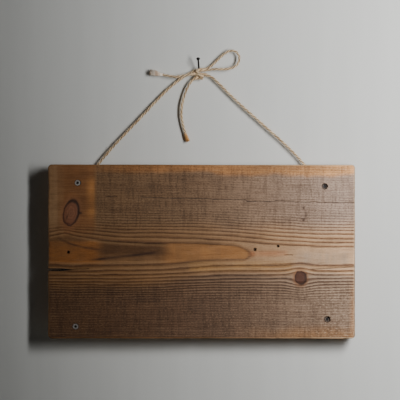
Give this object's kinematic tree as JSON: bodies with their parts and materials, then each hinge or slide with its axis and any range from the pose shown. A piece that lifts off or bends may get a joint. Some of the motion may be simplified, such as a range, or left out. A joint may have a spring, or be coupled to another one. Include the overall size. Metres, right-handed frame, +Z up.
{
  "type": "hanging wooden plaque",
  "caption": "Rectangular weathered pine board with battens behind it, hung on jute twine tied in a half bow round a sloping wall nail.",
  "frame": {"origin": "the point where the nail's axis goes into the wall", "axes": "+Z up, +X to the right along the board, -Y out of the wall towards the viewer; the wall is the plane y = 0"},
  "size_m": [0.3, 0.0477, 0.2836],
  "materials": {
    "weathered_pine": "dry, grey-brown, raised grain",
    "sawn_batten": "rough sawn",
    "dull_steel": "dull, tarnished",
    "zinc_plated_wire": "zinc plated, satin",
    "black_iron": "black oxide",
    "jute_twine": "hairy three-strand lay"
  },
  "bodies": {
    "nail": {"wall_nail": "black_iron"},
    "twine": {"hanging_twine": "jute_twine", "bow_knot": "jute_twine", "bow_loop": "jute_twine", "left_tail": "jute_twine", "left_frayed_end": "jute_twine", "hanging_tail": "jute_twine", "hanging_frayed_end": "jute_twine"},
    "plaque": {"plaque_board": "weathered_pine", "left_batten": "sawn_batten", "right_batten": "sawn_batten", "upper_left_screw": "dull_steel", "lower_left_screw": "dull_steel", "upper_right_screw": "dull_steel", "lower_right_screw": "dull_steel", "left_screw_eye": "zinc_plated_wire", "right_screw_eye": "zinc_plated_wire"}
  },
  "joints": [
    {"name": "swing_on_nail", "type": "hinge", "parent": "nail", "child": "twine", "pos_m": [-0.00033, -0.0044, 0.0044], "axis": [0, 1, 0], "range_deg": [-12, 12]},
    {"name": "board_tilt", "type": "hinge", "parent": "twine", "child": "plaque", "pos_m": [0, -0.0066, -0.0952], "axis": [-1, 0, 0], "range_deg": [0, 20]}
  ]
}
